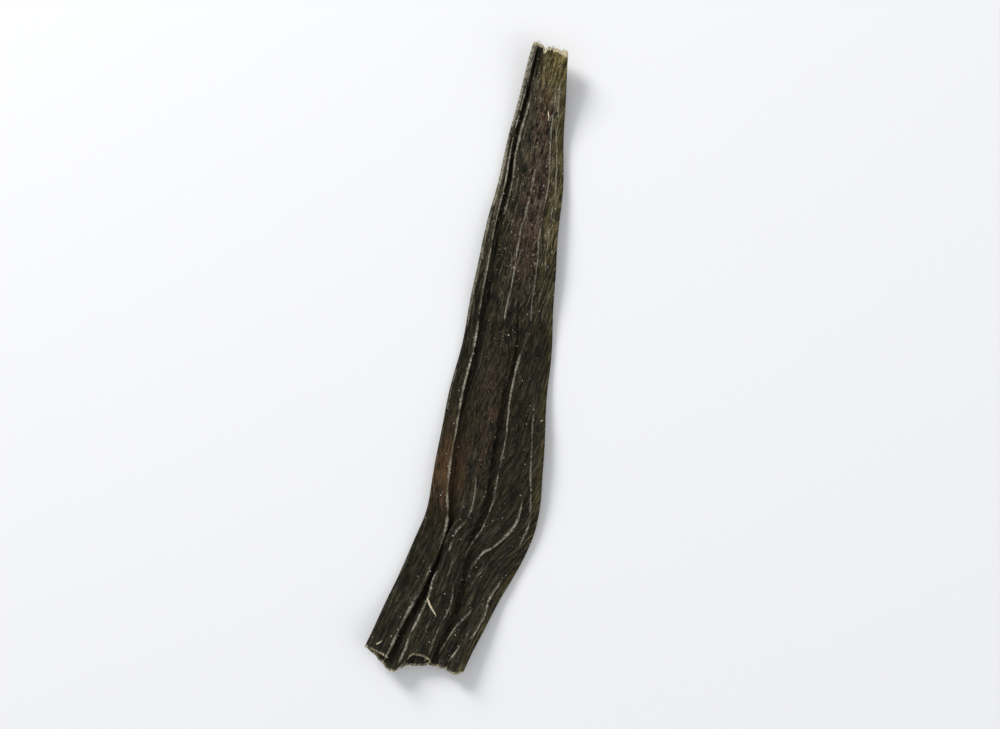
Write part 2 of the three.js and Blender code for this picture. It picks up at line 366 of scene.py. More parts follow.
# Creases on the panels. Each has its panel's control points, its way as (distance from the wide end,
# place across the middle line), and its size as height and half width.
NAMED_CREASES = (
    # left edge of the pleated panel
    ((7, 12), ((1, -3.7), (8.6, -4.5), (15, -4.7), (22.7, -5.1), (28.7, -6.1), (36, -6.6)), (0.6, 0.46)),
    ((8, 12), ((36, -6.2), (44.8, -6.1), (49.8, -4.9), (58, -4.3), (72, -4.6)), (0.3, 0.35)),
    # doubled edge of the pleat
    ((8, 12), ((7, 2.7), (16.8, 1.8), (21.8, 1.5), (28, 0.2), (34, -2.6)), (0.35, 0.32)),
    ((8, 12), ((12, -1.2), (20, -1.8), (30, -3.0), (42, -4.1)), (0.2, 0.3)),
    # long crease beside the pleat
    (
        (17, 26),
        ((34, -0.7), (40, -1.0), (47, 0.1), (53.4, 1.0), (60, 1.8), (76, 2.9), (104, 3.4)),
        (0.45, 0.36),
    ),
    # crease that crosses the right panel, with a short one beside it
    (
        (17, 26),
        ((29, 2.5), (35.2, 2.3), (40.9, 3.5), (45.4, 6.5), (49.4, 8.8), (53.7, 9.7), (62, 10.1)),
        (0.6, 0.4),
    ),
    ((17, 26), ((29, 3.8), (31.3, 4.2), (35.4, 5.0), (38.9, 6.0), (44, 7.6)), (0.4, 0.3)),
    ((18, 27), ((45, 12.2), (52, 12.9), (57, 12.6), (70, 11.0), (88, 9.8)), (0.35, 0.36)),
    ((18, 27), ((17, 11.2), (25.4, 11.8), (30.3, 10.7), (35.2, 11.3), (42, 12.4)), (0.4, 0.34)),
    ((18, 27), ((8, 7.6), (11.2, 8.9), (14.3, 9.5), (20, 10.2)), (0.4, 0.34)),
    ((18, 26), ((9, 5.2), (16, 5.8), (24, 6.9), (32, 7.9)), (0.22, 0.3)),
    # lines towards the stem end
    ((12, 27), ((108, 4.9), (130, 4.5), (160, 3.9), (166, 3.4), (176, 3.5), (184, 3.0)), (0.36, 0.34)),
    ((12, 27), ((118, 7.4), (140, 7.0), (161, 5.6), (176, 4.3), (186, 3.9)), (0.2, 0.34)),
    ((7, 14), ((138, -6.6), (154, -5.9), (162, -5.4), (171, -4.2), (180, -2.9)), (0.32, 0.34)),
    ((9, 20), ((96, -3.4), (118, -1.8), (140, -0.8), (158, 0.6)), (0.26, 0.36)),
)

# Lines on the sheet that stay pale: the place in the control points, the strength at the wide
# end and at the stem end, and the half width
PALE_LINES = (
    (0.6, 1.15, 1.0, 0.36),
    (1.3, 0.7, 0.1, 0.18),
    (2.7, 0.1, 1.25, 0.42),
    (3.5, 0.6, 1.3, 0.34),
    (11.6, 1.1, 0.5, 0.34),
    (20, 0.35, 0.5, 0.2),
    (23, 0.35, 0.5, 0.2),
    (26.5, 0.6, 0.6, 0.3),
)
LINE_WIDTH = 0.25  # half width of a line of full strength
LINE_REACH = 2.0  # how far from a line its distance is kept

# Patterns on the sheet: width across it, length along it and seed, and a ridge's sharpness
WANDER = (7, 24, 21)
QUIVER = (2.5, 9, 22)
SWELLS = (4.2, 34, 23)
LONG_RIDGES = (1.9, 24, 24, 4)
FINE_RIDGES = (0.85, 8, 25, 4)
LEFT_RIDGES = (1.5, 5, 26, 5)
RIGHT_RIDGES = (1.4, 6, 27, 5)
WRINKLED_PATCHES = (8, 18, 28)
SLANT_PATCHES = (9, 15, 29)
DOTS = (0.9, 1.3, 61)
SALTY_PATCHES = (6, 11, 62)

WANDER_REACH = 1.3
QUIVER_REACH = 0.5
LEFT_SLANT = 0.5  # sideways travel of the slanting ridges for each millimetre along
RIGHT_SLANT = 0.42
PLEAT_SHOWS = (60, 104)  # where along the frond the layers under the pleat come into sight
SMOOTH_TO_ROUGH = (92, 140)
LONG_STRENGTH = (0.5, 0.62)  # of each kind of ridge, on the smooth and on the rough part
FINE_STRENGTH = (0.2, 0.35)
NET_STRENGTH = (0.22, 0.6)
SWELL_STRENGTH = 0.8
LEAST_RELIEF = 0.62  # of full height, where the frond is narrow
FRILL = (0.55, 1.6, 5.5)  # height, reach from the free edge, length

CREASE_WAVER = (0.22, 4, 31)  # size, length and seed
CREASE_FADES = (1, 3, 8)  # before its start, after its start and before its end
CREASE_BREAKS = (0.95, 0.3, 3, 32)  # mean, size, length and seed of its strength
CREASE_SHARPNESS = 1.6

# Coloured regions: where they come in along the frond and from its left side (-1) to its right (1),
# and their strength
GOLD = (
    ((166, 187), (-0.5, 0.2), 1.0),
    ((100, 150), (0.42, 0.75), 0.5),
    ((-2, -1), (0.86, 1.0), 0.35),
)
AMBER_SIDE = (0.3, 0.7)
AMBER_ALONG = (63, 12)  # middle and half width
RUSSET_UPPER = (0.2, 0.45)
RUSSET_UPPER_FROM = (100, 140)
RUSSET_UPPER_TO = (172, 184)
RUSSET_LOWER = (-0.15, 0.35)
RUSSET_LOWER_ALONG = (82, 20)
NET_FROM = (95, 145)
NET_LEAST = 0.12
DEEP_SHADE_TO = (145, 172)  # the hidden layers are open to the light past here

# Pale rims of the cuts: their depth at the wide end, across the stem end and its left part, and at
# its right corner
WIDE_RIM = 0.22
STEM_RIM = 0.72
STEM_LEFT_RIM = 0.3
STEM_LEFT_TO = (-0.5, -0.2)  # from the left side (-1) to the right (1)
CORNER_FROM = (0.6, 1.0)
CORNER_RIM = 1.7
WIDE_PALENESS = 0.67  # most that the rim's mask reaches at the wide end
RIM_REACH = 2.5  # the rim's mask ends at this many times its depth


class Sheet:
    """The frond's sheet as a grid of rows along it and columns across it, in millimetres."""

    def __init__(self, settings):
        self.sheet = settings.thickness / MM
        self.pitch = settings.layer_pitch / MM
        self.curl = settings.edge_curl / MM
        self.relief_height = settings.wrinkle_height / MM
        self.bevel = settings.cut_bevel / MM
        self.rows = settings.rows
        self.columns = settings.columns
        self.lay_out()
        self.place()
        self.wrinkle()
        self.mark()

    def lay_out(self):
        """Sections on a fine table, then every column's own distances along the frond."""
        table_v = np.linspace(-2, LENGTH + 2, 481)
        control = control_points(table_v, self.sheet, self.pitch, self.curl)
        self.column_place = even_places(control, self.columns, 0.4)
        section = spline(control, self.column_place)
        steps = np.diff(section, axis=1)
        travelled = np.cumsum(np.hypot(steps[..., 0], steps[..., 1]), axis=1)
        travelled = np.concatenate([np.zeros((len(table_v), 1)), travelled], axis=1)
        start, end = self.cuts()
        self.v = self.row_distances(start, end)
        step = table_v[1] - table_v[0]
        at = np.clip((self.v - table_v[0]) / step, 0, len(table_v) - 1.001)
        low = at.astype(int)
        share = at - low
        column = np.arange(self.columns)[None, :]

        def read(table):
            return lerp(table[low, column], table[low + 1, column], share)

        self.across = read(section[..., 0])
        self.height = read(section[..., 1])
        self.unfolded = read(travelled)
        self.line_across = [
            np.interp(self.v, table_v, self.along_sheet(travelled, line[0])) for line in PALE_LINES
        ]

    def along_sheet(self, travelled, place):
        """Distance along each section to a place in the control points."""
        column = np.interp(place, self.column_place, np.arange(self.columns))
        low = min(int(column), self.columns - 2)
        return lerp(travelled[:, low], travelled[:, low + 1], column - low)

    def cuts(self):
        """Where each column starts and ends: slanted, ragged cuts."""
        place = self.column_place
        across = np.linspace(0, TEETH_ACROSS, self.columns)
        depth, *where = NOTCH
        start = on_curve(WIDE_CUT_AT, WIDE_CUT, place) + ragged(WIDE_TEETH, across)
        slant = NARROW_CUT_SLANT * across / TEETH_ACROSS
        end = LENGTH - slant - depth * hill(place, *where) + ragged(NARROW_TEETH, across)
        return start, end

    def row_distances(self, start, end):
        """Distances along the frond: even rows, with closer ones beside the cuts."""
        inner = np.linspace(0, 1, self.rows - 2 * len(CLOSE_ROWS))[:, None]
        near_start = start + CLOSE_ROWS[:, None]
        near_end = end - CLOSE_ROWS[::-1, None]
        return np.concatenate([near_start, lerp(start + 1.0, end - 1.0, inner), near_end])

    def place(self):
        """Middle surface of the sheet, before its wrinkles."""
        v = self.v
        left, _, _, width = outline(v, self.sheet)
        self.to_edge = 2 * (self.across - left) / width - 1
        self.width = width
        slope = middle_slope(v)
        length = np.hypot(1, slope)
        waver = sum(wave(form, v) for form in MIDDLE_WAVES)
        x = self.across + waver
        z = self.height + self.lift(v, self.to_edge)
        self.middle = np.stack([middle_line(v) + x / length, v - x * slope / length, z], axis=2)

    def lift(self, v, to_edge):
        """How far the frond lifts off the ground."""
        wide = np.maximum(0, 1 - v / WIDE_CURL_LENGTH)
        narrow = np.maximum(0, 1 - (LENGTH - v) / NARROW_CURL_LENGTH)
        outward = np.clip((np.abs(to_edge) - RIPPLE_FROM) / (1 - RIPPLE_FROM), 0, 1)
        left = LEFT_RIPPLE[0] + wave(LEFT_RIPPLE, v)
        right = RIGHT_RIPPLE[0] + wave(RIGHT_RIPPLE, v)
        ripple = np.where(to_edge < 0, left, right) * outward**2
        curl = WIDE_END_CURL * wide**2 * (1 - WIDE_CURL_TILT * to_edge) + NARROW_END_CURL * narrow**2
        return curl + ripple

    def normals(self):
        """Unit normals of the middle surface, on the blade's upper side."""
        down = np.gradient(self.middle, axis=0)
        over = np.gradient(self.middle, axis=1)
        normal = np.cross(over, down)
        return normal / np.linalg.norm(normal, axis=2, keepdims=True), down

    def wrinkle(self):
        """Raises wrinkles and creases out of the layers that show."""
        u = self.unfolded
        v = self.v
        opened = smoothstep(v, *PLEAT_SHOWS)
        places = np.arange(len(SHOWS_FOLDED))
        shown = [np.interp(self.column_place, places, shows) for shows in (SHOWS_FOLDED, SHOWS_OPEN)]
        self.shows = lerp(*shown, opened)
        wander = WANDER_REACH * pattern(WANDER, u, v) + QUIVER_REACH * pattern(QUIVER, u, v)
        swell = 0.5 + 0.5 * pattern(SWELLS, u + 0.84 * wander, v)
        long_ridges = ridges(LONG_RIDGES, u + wander, v)
        fine_ridges = ridges(FINE_RIDGES, u + 0.6 * wander, v)
        left = ridges(LEFT_RIDGES, u + LEFT_SLANT * v, v - LEFT_SLANT * u)
        right = ridges(RIGHT_RIDGES, u - RIGHT_SLANT * v, v + RIGHT_SLANT * u)
        net = lerp(left, right, smoothstep(pattern(SLANT_PATCHES, u, v), -0.3, 0.3))
        net = net * smoothstep(pattern(WRINKLED_PATCHES, u, v), -0.5, 0.6)
        rough = smoothstep(v, *SMOOTH_TO_ROUGH)
        self.fine = (
            lerp(*LONG_STRENGTH, rough) * long_ridges
            + lerp(*FINE_STRENGTH, rough) * fine_ridges
            + lerp(*NET_STRENGTH, rough) * net
        )
        self.named = np.zeros_like(u)
        self.near_line = np.full_like(u, LINE_REACH)
        for form in NAMED_CREASES:
            height, away = self.crease(*form)
            self.named = np.maximum(self.named, height)
            self.near_line = np.minimum(self.near_line, away)
        scale = np.clip(self.width / FULL_WIDTH, LEAST_RELIEF, 1) * self.shows
        relief = scale * (self.relief_height * (SWELL_STRENGTH * swell + self.fine) + self.named)
        normal, _ = self.normals()
        upward = np.clip(2.5 * normal[..., 2], -1, 1)
        self.middle = self.middle + normal * (relief * upward)[..., None]
        self.middle[..., 2] += self.frill()

    def crease(self, panel, way, size):
        """Height of one named crease over the sheet, and the distance from its line."""
        way_v, way_x = np.array(way, float).T
        height, half_width = size
        v = np.clip(self.v, way_v[0], way_v[-1])
        x = on_curve(way_v, way_x, v)
        ahead = on_curve(way_v, way_x, np.clip(v + 0.5, way_v[0], way_v[-1]))
        lean = np.hypot(1, 2 * (ahead - x))
        waver, length, seed = CREASE_WAVER
        away = np.abs(self.across - x + waver * noise(self.v / length, way_v[0], seed)) / lean
        before, after, fade = CREASE_FADES
        ends = smoothstep(self.v, way_v[0] - before, way_v[0] + after)
        ends = ends * (1 - smoothstep(self.v, way_v[-1] - fade, way_v[-1]))
        place = self.column_place[None, :]
        first, last = panel
        inside = smoothstep(place, first - 0.5, first + 0.5) * (1 - smoothstep(place, last - 0.5, last + 0.5))
        mean, change, length, seed = CREASE_BREAKS
        strength = ends * inside * np.clip(mean + change * noise(self.v / length, way_v[0], seed), 0, 1)
        weight = np.clip(0.7 + height, 0, 1) * strength
        raised = height * strength / (1 + (away / half_width) ** 2) ** CREASE_SHARPNESS
        return raised, away + (1 - weight) * LINE_WIDTH * 2

    def frill(self):
        """Small waves of the flap's free edge."""
        height, reach, length = FRILL
        waves = 0.5 + 0.5 * noise(self.v / length, 1.0, 41)
        return height * np.exp(-self.unfolded / reach) * waves * (self.column_place[None, :] < 4)

    def mark(self):
        """Masks that the finish reads: crests, pale lines, cuts, coloured regions and painted shade on the
        layers under the folds.
        """
        u = self.unfolded
        v = self.v
        self.crest = np.clip(1.25 * self.fine - 0.15, 0, 1) * np.clip(self.shows + 0.3, 0, 1)
        near = self.near_line
        for (_, wide, narrow, width), line in zip(PALE_LINES, self.line_across):
            weight = along_frond((wide, narrow), v) * np.clip(0.85 + 0.4 * noise(v / 2.6, line / 3, 51), 0, 1)
            away = np.abs(u - line) * LINE_WIDTH / width
            near = np.minimum(near, away + (1 - weight) * LINE_WIDTH * 2)
        self.line = 1 - near / LINE_REACH
        start, end = self.cuts()
        from_cut = np.minimum(v - start, end - v)
        side = self.to_edge
        regions = [
            strength * smoothstep(v, *along) * smoothstep(side, *across) for along, across, strength in GOLD
        ]
        tip, band, _ = regions
        self.gold = np.maximum.reduce(regions)
        self.amber = smoothstep(-side, *AMBER_SIDE) * hill(v, *AMBER_ALONG)
        self.net = lerp(NET_LEAST, 1, smoothstep(v, *NET_FROM) * (1 - 0.4 * band))
        upper = smoothstep(v, *RUSSET_UPPER_FROM) * (1 - smoothstep(v, *RUSSET_UPPER_TO))
        lower = 0.6 * hill(v, *RUSSET_LOWER_ALONG)
        self.russet = np.maximum(upper * hill(side, *RUSSET_UPPER), lower * hill(side, *RUSSET_LOWER))
        stem = v > LENGTH / 2
        corner = smoothstep(side, *CORNER_FROM)
        rim = np.where(stem, lerp(STEM_LEFT_RIM, STEM_RIM, smoothstep(side, *STEM_LEFT_TO)), WIDE_RIM)
        rim = rim + (CORNER_RIM - STEM_RIM) * corner * stem
        self.cut = np.minimum(1 - from_cut / (RIM_REACH * rim), np.where(stem, 1, WIDE_PALENESS))
        # Painted shade on the layers that lie under the folds, seen in the gaps between them; it fades near
        # the cuts and towards the stem end, where those layers are open to the light.
        hidden_shade = 1 - np.clip(self.shows * 1.6, 0, 1)
        self.hidden_shade = hidden_shade * smoothstep(from_cut, 1, 5) * (1 - 0.85 * smoothstep(v, *DEEP_SHADE_TO))
        dotted = smoothstep(pattern(DOTS, u, v), -0.1, 0.5)
        patch = smoothstep(pattern(SALTY_PATCHES, u, v), -0.2, 0.7)
        on_line = 0.9 * hill(near, 0, 0.45)
        self.grain = self.shows * np.clip(0.05 * patch + (on_line + 0.2 * tip) * dotted, 0, 1)

    def spot(self, v, across, panel):
        """Row and column nearest a place on one panel."""
        columns = np.flatnonzero((self.column_place >= panel[0]) & (self.column_place <= panel[1]))
        away = (self.v[:, columns] - v) ** 2 + (self.across[:, columns] - across) ** 2
        row, column = np.unravel_index(np.argmin(away), away.shape)
        return row, columns[column]


class Ring:
    """The two faces of the sheet as rings of points, with fewer columns where a face is out of sight."""

    def __init__(self, sheet):
        place = sheet.column_place
        columns = np.arange(sheet.columns)
        keep = (place < FLAP_PLACES) | (columns % LOWER_STEP == 0)
        keep[-1] = True
        self.upper = columns
        self.lower = columns[keep][::-1]
        self.size = len(self.upper) + len(self.lower)

    def join(self, upper, lower):
        """Values of both faces, one row of the ring for each row of the sheet."""
        return np.concatenate([upper[:, self.upper], lower[:, self.lower]], axis=1)

    def values(self, grid):
        return self.join(grid, grid).ravel()

    def walls(self, rows):
        """Quads between neighbouring rows."""
        return tube_polygons(rows, self.size, 0)[0]

    def caps(self, rows):
        """Triangles that close the two cuts."""
        below = {column: len(self.upper) + k for k, column in enumerate(self.lower)}
        triangles = []
        kept = sorted(below)
        for here, there in zip(kept, kept[1:]):
            triangles.append((here, below[here], below[there]))
            triangles += [(column, below[there], column + 1) for column in range(here, there)]
        near = np.array(triangles)
        far = near[:, ::-1] + (rows - 1) * self.size
        return np.concatenate([near, far])


def build_blade(settings):
    """The sheet with its thickness: its form, its ring, its points in metres and its polygons."""
    sheet = Sheet(settings)
    ring = Ring(sheet)
    normal, along = sheet.normals()
    along = along / np.linalg.norm(along, axis=2, keepdims=True)
    rib = RIB_THICKNESS * smoothstep(sheet.v, *RIB_RISES)
    across = np.arange(sheet.columns)[None, :] / (sheet.columns - 1)
    on_rib = np.clip(1 - np.abs(across - RIB_MIDDLE) / RIB_REACH, 0, 1)
    half = (sheet.sheet + rib * smoothstep(on_rib, 0, 1)) / 2
    from_side = np.minimum(sheet.unfolded, sheet.unfolded[:, -1:] - sheet.unfolded)
    inward = np.clip(from_side / SIDE_ROUNDING, 0, 1)
    half = half * lerp(SIDE_THICKNESS, 1, np.sqrt(1 - (1 - inward) ** 2))
    faces = []
    for side in (1, -1):
        face = sheet.middle + side * half[..., None] * normal
        slant = sheet.bevel * np.clip(-side * normal[..., 2], 0, 1)[..., None] * along
        face[0] -= slant[0]
        face[-1] += slant[-1]
        faces.append(face)
    points = ring.join(*faces)
    low = points.min(axis=(0, 1))
    middle = (low + points.max(axis=(0, 1))) / 2
    shift = np.array([middle[0], middle[1], low[2]])
    sheet.top = (np.where(normal[..., 2:] > 0, faces[0], faces[1]) - shift) * MM
    sheet.core = (sheet.middle - shift) * MM
    sheet.along = along
    rows = sheet.v.shape[0]
    return sheet, ring, (points.reshape(-1, 3) - shift) * MM, [ring.walls(rows), ring.caps(rows)]


def make_mesh(name, points, polygons):
    """Smooth mesh from points in metres and arrays of polygons."""
    mesh = bpy.data.meshes.new(name)
    mesh.vertices.add(len(points))
    mesh.vertices.foreach_set("co", points.astype(np.float32).ravel())
    corners = np.concatenate([each.ravel() for each in polygons]).astype(np.int32)
    sizes = np.concatenate([np.full(len(each), each.shape[1]) for each in polygons])
    starts = np.concatenate([[0], np.cumsum(sizes)[:-1]]).astype(np.int32)
    mesh.loops.add(len(corners))
    mesh.loops.foreach_set("vertex_index", corners)
    mesh.polygons.add(len(sizes))
    mesh.polygons.foreach_set("loop_start", starts)
    mesh.polygons.foreach_set("use_smooth", np.ones(len(sizes), bool))
    mesh.update(calc_edges=True)
    mesh.validate()
    return mesh


def add_mask(mesh, name, values):
    """Named value on every point of the mesh."""
    layer = mesh.attributes.new(name, "FLOAT", "POINT")
    layer.data.foreach_set("value", np.clip(values, 0, 1).astype(np.float32))


def add_unfolded_map(mesh, across, along):
    """UV map of the unfolded sheet, one unit for every UNFOLDED_SPAN millimetres."""
    layer = mesh.uv_layers.new(name="unfolded")
    loops = np.empty(len(mesh.loops), np.int32)
    mesh.loops.foreach_get("vertex_index", loops)
    uv = np.stack([across[loops], along[loops]], axis=1) / UNFOLDED_SPAN
    layer.data.foreach_set("uv", uv.astype(np.float32).ravel())


def show(mesh, name):
    piece = bpy.data.objects.new(name, mesh)
    bpy.context.scene.collection.objects.link(piece)
    return piece


# ---------------------------------------------------------------- finishes

SHARP_EDGE = math.radians(62)  # angle between faces that stays an edge
SHRED_SHARP_EDGE = math.radians(50)
MASKS = ("crest", "line", "cut", "gold", "russet", "amber", "net", "hidden_shade", "grain")


# Patterns of the finish on the sheet: cells for each millimetre across it and along it, slant,
# detail and roughness
FIBRES = ((2.2, 0.2), 0.05, 5.0, 0.62)
HAIRS = ((6.0, 0.6), -0.06, 3.0, 0.6)
PATCHES = ((0.16, 0.05), 0.0, 3.0, 0.5)
MOTTLES = ((0.9, 0.26), 0.1, 4.0, 0.6)
SPECKS = ((3.2, 3.2), 0.0, 2.0, 0.5)
DASHES = ((2.0, 1.3), 0.0, 2.0, 0.6)
FLECK_CELLS = (1.15, 0.8, 1)

# Thin lines of the finish: cells for each millimetre, slant, core and edge of the line, and shift
THREADS = ((0.75, 0.05, 1), 0.02, 0.012, 0.06)
LEFT_STROKES = ((0.95, 0.3, 1), 0.5, 0.015, 0.07)
RIGHT_STROKES = ((1.05, 0.34, 1), -0.42, 0.015, 0.07, (7, 3, 0))


class Value:
    """A number in a node tree: plain arithmetic on it adds math nodes."""

    def __init__(self, tree, socket):
        self.tree = tree
        self.socket = socket

    def __add__(self, other):
        return self.tree.math("ADD", self, other)

    def __sub__(self, other):
        return self.tree.math("SUBTRACT", self, other)

    def __mul__(self, other):
        return self.tree.math("MULTIPLY", self, other)


class Tree:
    """Adds nodes to a tree and links them."""

    def add(self, kind, inputs=None, **settings):
        node = self.tree.nodes.new(kind)
        for key, value in settings.items():
            setattr(node, key, value)
        for key, value in (inputs or {}).items():
            self.put(node.inputs[key], value)
        return node

    def put(self, socket, value):
        if isinstance(value, Value):
            self.tree.links.new(value.socket, socket)
        elif isinstance(value, bpy.types.NodeSocket):
            self.tree.links.new(value, socket)
        else:
            socket.default_value = value

    def value(self, kind, inputs=None, output=0, **settings):
        return Value(self, self.add(kind, inputs, **settings).outputs[output])

    def math(self, operation, *numbers):
        return self.value("ShaderNodeMath", dict(enumerate(numbers)), operation=operation)


class Finish(Tree):
    """A material's nodes."""

    def __init__(self, name):
        self.material = bpy.data.materials.new(name)
        self.material.use_nodes = True
        self.tree = self.material.node_tree
        self.shader = self.tree.nodes["Principled BSDF"]

    def mask(self, name):
        return self.value("ShaderNodeAttribute", output="Fac", attribute_name=name)

    def noise(self, vector, scale, detail, roughness=0.55):
        inputs = {"Vector": vector, "Scale": scale, "Detail": detail, "Roughness": roughness}
        return self.value("ShaderNodeTexNoise", inputs, "Fac")

    def stretch(self, vector, scale, angle=0.0, shift=(0, 0, 0)):
        inputs = {"Vector": vector, "Scale": scale, "Location": shift, "Rotation": (0, 0, angle)}
        return self.add("ShaderNodeMapping", inputs).outputs[0]

    def pattern(self, sheet, cells, slant, detail, roughness):
        return self.noise(self.stretch(sheet, (*cells, 1), slant), 1.0, detail, roughness)

    def ramp(self, value, low, high, to_low=0.0, to_high=1.0):
        inputs = {"Value": value, "From Min": low, "From Max": high, "To Min": to_low, "To Max": to_high}
        return self.value("ShaderNodeMapRange", inputs, interpolation_type="SMOOTHSTEP", clamp=True)

    def contours(self, sheet, cells, slant, core, edge, shift=(0, 0, 0)):
        """Thin lines that wander where a noise passes its middle value."""
        away = self.noise(self.stretch(sheet, cells, slant, shift), 1.0, 2.0, 0.45) - 0.5
        return self.ramp(self.math("ABSOLUTE", away), core, edge, 1.0, 0.0)

    def mix(self, factor, a, b):
        return self.add("ShaderNodeMix", {0: factor, 6: a, 7: b}, data_type="RGBA").outputs[2]

    def coat(self, colour, roughness, specular):
        self.put(self.shader.inputs["Base Color"], colour)
        self.put(self.shader.inputs["Roughness"], roughness)
        self.shader.inputs["Specular IOR Level"].default_value = specular

    def emboss(self, height, strength, depth):
        """Relief from the finish's patterns; the depth is in millimetres."""
        bump = self.add("ShaderNodeBump", {"Height": height, "Strength": strength, "Distance": depth * MM})
        self.put(self.shader.inputs["Normal"], bump.outputs[0])


def pale_flecks(nodes, sheet, mottles, net):
    """Short pale spots, in some of the cells of a pattern."""
    cells = nodes.add("ShaderNodeTexVoronoi", {"Vector": nodes.stretch(sheet, FLECK_CELLS), "Scale": 1.0})
    drawn = nodes.value("ShaderNodeSeparateXYZ", {0: cells.outputs["Color"]})
    spots = nodes.ramp(cells.outputs["Distance"], 0.16, 0.34, 1.0, 0.0)
    return spots * nodes.ramp(drawn, 0.5, 0.9) * net * nodes.ramp(mottles, 0.4, 0.5)


def fold_lines(nodes, sheet, hairs):
    """Crisp, broken pale lines on the folds and creases."""
    line = nodes.mask("line") + (hairs - 0.5) * 0.3
    line = nodes.ramp(line, 1 - 1.3 * LINE_WIDTH / LINE_REACH, 1 - 0.1 * LINE_WIDTH / LINE_REACH)
    return line * nodes.ramp(nodes.pattern(sheet, *DASHES), 0.4, 0.58, 0.35, 1.0) * 0.82


def kelp_material(finish):
    """Dry, leathery olive blade: pale wrinkles and folds on a dark ground, gold at the stem end, and painted
    shade in the floors of the wrinkles and on the layers under the folds.
    """
    nodes = Finish("dried_kelp")
    uv = nodes.add("ShaderNodeUVMap", uv_map="unfolded").outputs[0]
    sheet = nodes.stretch(uv, (UNFOLDED_SPAN,) * 3)
    forms = (FIBRES, HAIRS, PATCHES, MOTTLES, SPECKS)
    fibres, hairs, patches, mottles, specks = [nodes.pattern(sheet, *form) for form in forms]
    crest, net, russet, gold = [nodes.mask(name) for name in ("crest", "net", "russet", "gold")]

    threads = nodes.contours(sheet, *THREADS) * nodes.ramp(fibres, 0.42, 0.56)
    broken = nodes.ramp(mottles, 0.48, 0.58) * nodes.ramp(patches, 0.4, 0.6, 0.25, 1.0)
    left_strokes = nodes.contours(sheet, *LEFT_STROKES) * broken * net
    right_strokes = nodes.contours(sheet, *RIGHT_STROKES) * nodes.ramp(hairs, 0.47, 0.58) * (russet + 0.1)
    flecks = pale_flecks(nodes, sheet, mottles, net)
    pale_marks = nodes.ramp(crest, 0.45, 0.95, 0.0, 0.6) * nodes.ramp(hairs, 0.45, 0.58, 0.15, 1.0)
    for marks in (threads, left_strokes, flecks):
        pale_marks = nodes.math("MAXIMUM", pale_marks, marks)
    # Painted shade in the floors of the wrinkles, between the crests.
    painted_shade = nodes.ramp(crest, 0.0, 0.3, 0.75, 0.0) * nodes.ramp(fibres, 0.42, 0.56, 1.0, 0.1)
    torn = nodes.ramp(nodes.mask("cut") + (hairs - 0.5) * 0.9, 1 - 1 / RIM_REACH, 1.2 - 1 / RIM_REACH)
    bloom = nodes.ramp(specks, 0.68, 0.74, 0.0, 0.5) * nodes.ramp(patches, 0.4, 0.6, 0.2, 1.0)

    colour = nodes.mix(nodes.ramp(patches, 0.35, 0.65), finish.dark, finish.brown)
    layers = (
        (nodes.ramp(mottles, 0.45, 0.57, 0.0, 0.85), finish.olive),
        (russet * nodes.ramp(mottles, 0.45, 0.58), finish.russet),
        (nodes.mask("amber") * nodes.ramp(fibres, 0.4, 0.6, 0.3, 1.0), finish.amber),
        (gold * nodes.ramp(fibres, 0.4, 0.58, 0.12, 1.0), finish.gold),
        # Painted shade in the wrinkle floors.
        (painted_shade, finish.painted_shade),
        (pale_marks * nodes.ramp(net, 0.1, 0.7, 0.25, 0.56), nodes.mix(gold, finish.fibre, finish.straw)),
        (right_strokes * 0.75, nodes.mix(russet, finish.fibre, finish.blush)),
        (flecks * 0.5, finish.fold),
        # Painted shade on the layers under the folds.
        (nodes.mask("hidden_shade") * 0.8, finish.painted_shade),
        (fold_lines(nodes, sheet, hairs), finish.fold),
        (torn, nodes.mix(nodes.ramp(fibres, 0.38, 0.6), finish.fold, finish.cut)),
        (bloom, finish.salt),
    )
    for amount, tint in layers:
        colour = nodes.mix(amount, colour, tint)
    nodes.coat(colour, nodes.ramp(mottles, 0.3, 0.7, 0.38, 0.6), 0.09)

    height = (fibres * 0.9 + hairs * 0.4) * nodes.ramp(net, 0.1, 0.7, 0.6, 1.0)
    for marks in (left_strokes, right_strokes, specks):
        height = height + marks * 0.3
    for marks in (threads, flecks):
        height = height + marks * 0.4
    nodes.emboss(height, 0.9, 0.3)
    return nodes.material


def salt_material(finish):
    """Dull white crystals, some of them stained."""
    nodes = Finish("sea_salt")
    place = nodes.add("ShaderNodeTexCoord").outputs["Object"]
    stain = nodes.ramp(nodes.noise(place, 900.0, 2.0), 0.4, 0.65)
    frost = nodes.noise(place, 6000.0, 2.0)
    nodes.coat(nodes.mix(stain, finish.salt, finish.fold), nodes.ramp(frost, 0.3, 0.7, 0.25, 0.5), 0.5)
    nodes.emboss(frost, 0.5, 0.05)
    return nodes.material


def tissue_material(name, light, dark):
    """Torn dry tissue, streaked along the frond."""
    nodes = Finish(name)
    place = nodes.add("ShaderNodeTexCoord").outputs["Object"]
    streaks = nodes.noise(nodes.stretch(place, (2600, 500, 1600), 0.2), 1.0, 3.0, 0.6)
    streaked = nodes.mix(nodes.ramp(streaks, 0.38, 0.64), light, dark)
    nodes.coat(streaked, nodes.ramp(streaks, 0.3, 0.7, 0.5, 0.75), 0.25)
    nodes.emboss(streaks, 0.7, 0.08)
    return nodes.material


# ---------------------------------------------------------------- geometry trees


